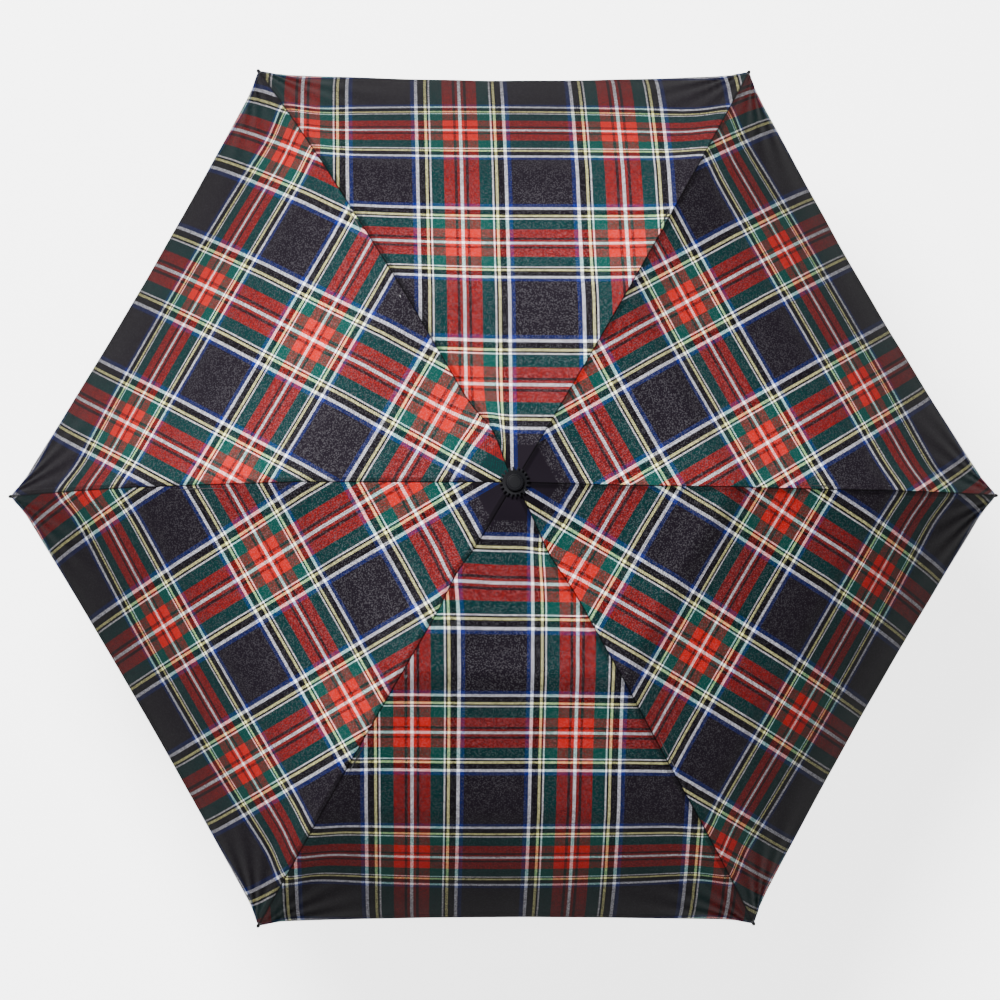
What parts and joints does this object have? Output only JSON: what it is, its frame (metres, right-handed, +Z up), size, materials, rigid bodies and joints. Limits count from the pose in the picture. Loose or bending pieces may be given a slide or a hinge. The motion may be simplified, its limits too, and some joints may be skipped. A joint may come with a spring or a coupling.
{
  "type": "compact folding umbrella",
  "caption": "Open compact umbrella with folding sectional ribs, a sliding runner and a telescopic shaft, for keeping rain off a person.",
  "frame": {"origin": "middle of the handle's flat end", "axes": "+Z up the shaft to the crown, +X out along the first rib"},
  "size_m": [0.958, 0.83, 0.5898],
  "materials": {
    "canopy_cloth": "woven polyester, printed tartan in navy, green, red, white and yellow",
    "black_plastic": "satin black moulded plastic",
    "grip_rubber": "soft-touch matt black",
    "bright_steel": "bright plated",
    "black_steel": "black lacquered steel"
  },
  "bodies": {
    "handle": {"handle_grip": "grip_rubber", "handle_end_cap": "black_plastic", "lower_tube": "bright_steel"},
    "lower_catch": {"tube_catch_lower": "bright_steel"},
    "mid_shaft": {"mid_tube": "bright_steel"},
    "upper_catch": {"tube_catch_upper": "bright_steel"},
    "canopy_head": {"top_tube": "bright_steel", "crown_notch": "black_plastic", "crown_cap": "black_plastic", "canopy_rosette": "black_plastic", "canopy_gore_1": "canopy_cloth", "canopy_gore_2": "canopy_cloth", "canopy_gore_3": "canopy_cloth", "canopy_gore_4": "canopy_cloth", "canopy_gore_5": "canopy_cloth", "canopy_gore_6": "canopy_cloth"},
    "top_catch": {"runner_catch": "bright_steel"},
    "runner_ring": {"runner": "black_plastic"},
    "top_rib_1": {"rib_1_top": "black_steel"},
    "middle_rib_1": {"rib_1_middle": "black_steel"},
    "outer_rib_1": {"rib_1_outer": "bright_steel", "rib_1_tip": "black_plastic"},
    "stretcher_arm_1": {"stretcher_1": "black_steel"},
    "fold_arm_1": {"fold_link_1": "black_steel"},
    "outer_arm_1": {"outer_link_1": "bright_steel"},
    "top_rib_2": {"rib_2_top": "black_steel"},
    "middle_rib_2": {"rib_2_middle": "black_steel"},
    "outer_rib_2": {"rib_2_outer": "bright_steel", "rib_2_tip": "black_plastic"},
    "stretcher_arm_2": {"stretcher_2": "black_steel"},
    "fold_arm_2": {"fold_link_2": "black_steel"},
    "outer_arm_2": {"outer_link_2": "bright_steel"},
    "top_rib_3": {"rib_3_top": "black_steel"},
    "middle_rib_3": {"rib_3_middle": "black_steel"},
    "outer_rib_3": {"rib_3_outer": "bright_steel", "rib_3_tip": "black_plastic"},
    "stretcher_arm_3": {"stretcher_3": "black_steel"},
    "fold_arm_3": {"fold_link_3": "black_steel"},
    "outer_arm_3": {"outer_link_3": "bright_steel"},
    "top_rib_4": {"rib_4_top": "black_steel"},
    "middle_rib_4": {"rib_4_middle": "black_steel"},
    "outer_rib_4": {"rib_4_outer": "bright_steel", "rib_4_tip": "black_plastic"},
    "stretcher_arm_4": {"stretcher_4": "black_steel"},
    "fold_arm_4": {"fold_link_4": "black_steel"},
    "outer_arm_4": {"outer_link_4": "bright_steel"},
    "top_rib_5": {"rib_5_top": "black_steel"},
    "middle_rib_5": {"rib_5_middle": "black_steel"},
    "outer_rib_5": {"rib_5_outer": "bright_steel", "rib_5_tip": "black_plastic"},
    "stretcher_arm_5": {"stretcher_5": "black_steel"},
    "fold_arm_5": {"fold_link_5": "black_steel"},
    "outer_arm_5": {"outer_link_5": "bright_steel"},
    "top_rib_6": {"rib_6_top": "black_steel"},
    "middle_rib_6": {"rib_6_middle": "black_steel"},
    "outer_rib_6": {"rib_6_outer": "bright_steel", "rib_6_tip": "black_plastic"},
    "stretcher_arm_6": {"stretcher_6": "black_steel"},
    "fold_arm_6": {"fold_link_6": "black_steel"},
    "outer_arm_6": {"outer_link_6": "bright_steel"}
  },
  "joints": [
    {"name": "lower_telescope", "type": "slide", "parent": "handle", "child": "mid_shaft", "axis": [0, 0, -1], "range_m": [0, 0.15], "deforming": ["tube_catch_lower", "tube_catch_upper"]},
    {"name": "upper_telescope", "type": "slide", "parent": "mid_shaft", "child": "canopy_head", "axis": [0, 0, -1], "range_m": [0, 0.15], "deforming": ["tube_catch_upper", "runner_catch"]},
    {"name": "canopy_fold", "type": "hinge", "parent": "canopy_head", "child": "top_rib_1", "pos_m": [0.011, 0, 0.575], "axis": [0, 1, 0], "range_deg": [0, 79], "deforming": ["canopy_gore_1", "canopy_gore_2", "canopy_gore_3", "canopy_gore_4", "canopy_gore_5", "canopy_gore_6", "runner_catch"]},
    {"name": "middle_rib_1_hinge", "type": "hinge", "parent": "top_rib_1", "child": "middle_rib_1", "pos_m": [0.20114, 0, 0.54812], "axis": [0, 1, 0], "range_deg": [-197.51, 0]},
    {"name": "outer_rib_1_hinge", "type": "hinge", "parent": "middle_rib_1", "child": "outer_rib_1", "pos_m": [0.35139, 0, 0.46427], "axis": [0, 1, 0], "range_deg": [0, 161.51]},
    {"name": "outer_link_1_hinge", "type": "hinge", "parent": "top_rib_1", "child": "outer_arm_1", "pos_m": [0.19076, 0, 0.54653], "axis": [0, 1, 0], "range_deg": [-194.28, 0]},
    {"name": "top_rib_2_hinge", "type": "hinge", "parent": "canopy_head", "child": "top_rib_2", "pos_m": [0.0055, 0.00953, 0.575], "axis": [-0.866, 0.5, 0], "range_deg": [0, 79.01]},
    {"name": "middle_rib_2_hinge", "type": "hinge", "parent": "top_rib_2", "child": "middle_rib_2", "pos_m": [0.10057, 0.17419, 0.54812], "axis": [-0.866, 0.5, 0], "range_deg": [-197.51, 0]},
    {"name": "outer_rib_2_hinge", "type": "hinge", "parent": "middle_rib_2", "child": "outer_rib_2", "pos_m": [0.1757, 0.30432, 0.46427], "axis": [-0.866, 0.5, 0], "range_deg": [0, 161.51]},
    {"name": "outer_link_2_hinge", "type": "hinge", "parent": "top_rib_2", "child": "outer_arm_2", "pos_m": [0.09538, 0.1652, 0.54653], "axis": [-0.866, 0.5, 0], "range_deg": [-194.28, 0]},
    {"name": "top_rib_3_hinge", "type": "hinge", "parent": "canopy_head", "child": "top_rib_3", "pos_m": [-0.0055, 0.00953, 0.575], "axis": [-0.866, -0.5, 0], "range_deg": [0, 79.01]},
    {"name": "middle_rib_3_hinge", "type": "hinge", "parent": "top_rib_3", "child": "middle_rib_3", "pos_m": [-0.10057, 0.17419, 0.54812], "axis": [-0.866, -0.5, 0], "range_deg": [-197.51, 0]},
    {"name": "outer_rib_3_hinge", "type": "hinge", "parent": "middle_rib_3", "child": "outer_rib_3", "pos_m": [-0.1757, 0.30432, 0.46427], "axis": [-0.866, -0.5, 0], "range_deg": [0, 161.51]},
    {"name": "outer_link_3_hinge", "type": "hinge", "parent": "top_rib_3", "child": "outer_arm_3", "pos_m": [-0.09538, 0.1652, 0.54653], "axis": [-0.866, -0.5, 0], "range_deg": [-194.28, 0]},
    {"name": "top_rib_4_hinge", "type": "hinge", "parent": "canopy_head", "child": "top_rib_4", "pos_m": [-0.011, 0, 0.575], "axis": [0, -1, 0], "range_deg": [0, 79.01]},
    {"name": "middle_rib_4_hinge", "type": "hinge", "parent": "top_rib_4", "child": "middle_rib_4", "pos_m": [-0.20114, 0, 0.54812], "axis": [0, -1, 0], "range_deg": [-197.51, 0]},
    {"name": "outer_rib_4_hinge", "type": "hinge", "parent": "middle_rib_4", "child": "outer_rib_4", "pos_m": [-0.35139, 0, 0.46427], "axis": [0, -1, 0], "range_deg": [0, 161.51]},
    {"name": "outer_link_4_hinge", "type": "hinge", "parent": "top_rib_4", "child": "outer_arm_4", "pos_m": [-0.19076, 0, 0.54653], "axis": [0, -1, 0], "range_deg": [-194.28, 0]},
    {"name": "top_rib_5_hinge", "type": "hinge", "parent": "canopy_head", "child": "top_rib_5", "pos_m": [-0.0055, -0.00953, 0.575], "axis": [0.866, -0.5, 0], "range_deg": [0, 79.01]},
    {"name": "middle_rib_5_hinge", "type": "hinge", "parent": "top_rib_5", "child": "middle_rib_5", "pos_m": [-0.10057, -0.17419, 0.54812], "axis": [0.866, -0.5, 0], "range_deg": [-197.51, 0]},
    {"name": "outer_rib_5_hinge", "type": "hinge", "parent": "middle_rib_5", "child": "outer_rib_5", "pos_m": [-0.1757, -0.30432, 0.46427], "axis": [0.866, -0.5, 0], "range_deg": [0, 161.51]},
    {"name": "outer_link_5_hinge", "type": "hinge", "parent": "top_rib_5", "child": "outer_arm_5", "pos_m": [-0.09538, -0.1652, 0.54653], "axis": [0.866, -0.5, 0], "range_deg": [-194.28, 0]},
    {"name": "top_rib_6_hinge", "type": "hinge", "parent": "canopy_head", "child": "top_rib_6", "pos_m": [0.0055, -0.00953, 0.575], "axis": [0.866, 0.5, 0], "range_deg": [0, 79.01]},
    {"name": "middle_rib_6_hinge", "type": "hinge", "parent": "top_rib_6", "child": "middle_rib_6", "pos_m": [0.10057, -0.17419, 0.54812], "axis": [0.866, 0.5, 0], "range_deg": [-197.51, 0]},
    {"name": "outer_rib_6_hinge", "type": "hinge", "parent": "middle_rib_6", "child": "outer_rib_6", "pos_m": [0.1757, -0.30432, 0.46427], "axis": [0.866, 0.5, 0], "range_deg": [0, 161.51]},
    {"name": "outer_link_6_hinge", "type": "hinge", "parent": "top_rib_6", "child": "outer_arm_6", "pos_m": [0.09538, -0.1652, 0.54653], "axis": [0.866, 0.5, 0], "range_deg": [-194.28, 0]},
    {"name": "runner_slide", "type": "slide", "parent": "canopy_head", "child": "runner_ring", "axis": [0, 0, -1], "range_m": [0, 0.0995]},
    {"name": "stretcher_1_hinge", "type": "hinge", "parent": "runner_ring", "child": "stretcher_arm_1", "pos_m": [0.0104, 0, 0.50454], "axis": [0, 1, 0], "range_deg": [-49.89, 0]},
    {"name": "fold_link_1_hinge", "type": "hinge", "parent": "stretcher_arm_1", "child": "fold_arm_1", "pos_m": [0.07564, 0, 0.55585], "axis": [0, 1, 0], "range_deg": [0, 128.76]},
    {"name": "stretcher_2_hinge", "type": "hinge", "parent": "runner_ring", "child": "stretcher_arm_2", "pos_m": [0.0052, 0.00901, 0.50454], "axis": [-0.866, 0.5, 0], "range_deg": [-49.89, 0]},
    {"name": "fold_link_2_hinge", "type": "hinge", "parent": "stretcher_arm_2", "child": "fold_arm_2", "pos_m": [0.03782, 0.06551, 0.55585], "axis": [-0.866, 0.5, 0], "range_deg": [0, 128.76]},
    {"name": "stretcher_3_hinge", "type": "hinge", "parent": "runner_ring", "child": "stretcher_arm_3", "pos_m": [-0.0052, 0.00901, 0.50454], "axis": [-0.866, -0.5, 0], "range_deg": [-49.89, 0]},
    {"name": "fold_link_3_hinge", "type": "hinge", "parent": "stretcher_arm_3", "child": "fold_arm_3", "pos_m": [-0.03782, 0.06551, 0.55585], "axis": [-0.866, -0.5, 0], "range_deg": [0, 128.76]},
    {"name": "stretcher_4_hinge", "type": "hinge", "parent": "runner_ring", "child": "stretcher_arm_4", "pos_m": [-0.0104, 0, 0.50454], "axis": [0, -1, 0], "range_deg": [-49.89, 0]},
    {"name": "fold_link_4_hinge", "type": "hinge", "parent": "stretcher_arm_4", "child": "fold_arm_4", "pos_m": [-0.07564, 0, 0.55585], "axis": [0, -1, 0], "range_deg": [0, 128.76]},
    {"name": "stretcher_5_hinge", "type": "hinge", "parent": "runner_ring", "child": "stretcher_arm_5", "pos_m": [-0.0052, -0.00901, 0.50454], "axis": [0.866, -0.5, 0], "range_deg": [-49.89, 0]},
    {"name": "fold_link_5_hinge", "type": "hinge", "parent": "stretcher_arm_5", "child": "fold_arm_5", "pos_m": [-0.03782, -0.06551, 0.55585], "axis": [0.866, -0.5, 0], "range_deg": [0, 128.76]},
    {"name": "stretcher_6_hinge", "type": "hinge", "parent": "runner_ring", "child": "stretcher_arm_6", "pos_m": [0.0052, -0.00901, 0.50454], "axis": [0.866, 0.5, 0], "range_deg": [-49.89, 0]},
    {"name": "fold_link_6_hinge", "type": "hinge", "parent": "stretcher_arm_6", "child": "fold_arm_6", "pos_m": [0.03782, -0.06551, 0.55585], "axis": [0.866, 0.5, 0], "range_deg": [0, 128.76]},
    {"name": "lower_catch_press", "type": "slide", "parent": "handle", "child": "lower_catch", "axis": [-1, 0, 0], "range_m": [0, 0.0013], "stiffness_N_per_m": 800, "springref_m": -0.001},
    {"name": "upper_catch_press", "type": "slide", "parent": "mid_shaft", "child": "upper_catch", "axis": [-1, 0, 0], "range_m": [0, 0.0013], "stiffness_N_per_m": 800, "springref_m": -0.001},
    {"name": "runner_catch_press", "type": "slide", "parent": "canopy_head", "child": "top_catch", "axis": [-1, 0, 0], "range_m": [0, 0.0016], "stiffness_N_per_m": 800, "springref_m": -0.001}
  ],
  "couplings": [
    {"joint": "middle_rib_1_hinge", "follows": "canopy_fold", "ratio": -2.5},
    {"joint": "outer_rib_1_hinge", "follows": "canopy_fold", "ratio": 2.0443},
    {"joint": "outer_link_1_hinge", "follows": "canopy_fold", "ratio": -2.4591},
    {"joint": "top_rib_2_hinge", "follows": "canopy_fold", "ratio": 1},
    {"joint": "middle_rib_2_hinge", "follows": "canopy_fold", "ratio": -2.5},
    {"joint": "outer_rib_2_hinge", "follows": "canopy_fold", "ratio": 2.0443},
    {"joint": "outer_link_2_hinge", "follows": "canopy_fold", "ratio": -2.4591},
    {"joint": "top_rib_3_hinge", "follows": "canopy_fold", "ratio": 1},
    {"joint": "middle_rib_3_hinge", "follows": "canopy_fold", "ratio": -2.5},
    {"joint": "outer_rib_3_hinge", "follows": "canopy_fold", "ratio": 2.0443},
    {"joint": "outer_link_3_hinge", "follows": "canopy_fold", "ratio": -2.4591},
    {"joint": "top_rib_4_hinge", "follows": "canopy_fold", "ratio": 1},
    {"joint": "middle_rib_4_hinge", "follows": "canopy_fold", "ratio": -2.5},
    {"joint": "outer_rib_4_hinge", "follows": "canopy_fold", "ratio": 2.0443},
    {"joint": "outer_link_4_hinge", "follows": "canopy_fold", "ratio": -2.4591},
    {"joint": "top_rib_5_hinge", "follows": "canopy_fold", "ratio": 1},
    {"joint": "middle_rib_5_hinge", "follows": "canopy_fold", "ratio": -2.5},
    {"joint": "outer_rib_5_hinge", "follows": "canopy_fold", "ratio": 2.0443},
    {"joint": "outer_link_5_hinge", "follows": "canopy_fold", "ratio": -2.4591},
    {"joint": "top_rib_6_hinge", "follows": "canopy_fold", "ratio": 1},
    {"joint": "middle_rib_6_hinge", "follows": "canopy_fold", "ratio": -2.5},
    {"joint": "outer_rib_6_hinge", "follows": "canopy_fold", "ratio": 2.0443},
    {"joint": "outer_link_6_hinge", "follows": "canopy_fold", "ratio": -2.4591},
    {"joint": "runner_slide", "follows": "canopy_fold", "m_per_rad": 0.072123},
    {"joint": "stretcher_1_hinge", "follows": "canopy_fold", "ratio": -0.63139},
    {"joint": "fold_link_1_hinge", "follows": "canopy_fold", "ratio": 1.6298},
    {"joint": "stretcher_2_hinge", "follows": "canopy_fold", "ratio": -0.63139},
    {"joint": "fold_link_2_hinge", "follows": "canopy_fold", "ratio": 1.6298},
    {"joint": "stretcher_3_hinge", "follows": "canopy_fold", "ratio": -0.63139},
    {"joint": "fold_link_3_hinge", "follows": "canopy_fold", "ratio": 1.6298},
    {"joint": "stretcher_4_hinge", "follows": "canopy_fold", "ratio": -0.63139},
    {"joint": "fold_link_4_hinge", "follows": "canopy_fold", "ratio": 1.6298},
    {"joint": "stretcher_5_hinge", "follows": "canopy_fold", "ratio": -0.63139},
    {"joint": "fold_link_5_hinge", "follows": "canopy_fold", "ratio": 1.6298},
    {"joint": "stretcher_6_hinge", "follows": "canopy_fold", "ratio": -0.63139},
    {"joint": "fold_link_6_hinge", "follows": "canopy_fold", "ratio": 1.6298}
  ]
}
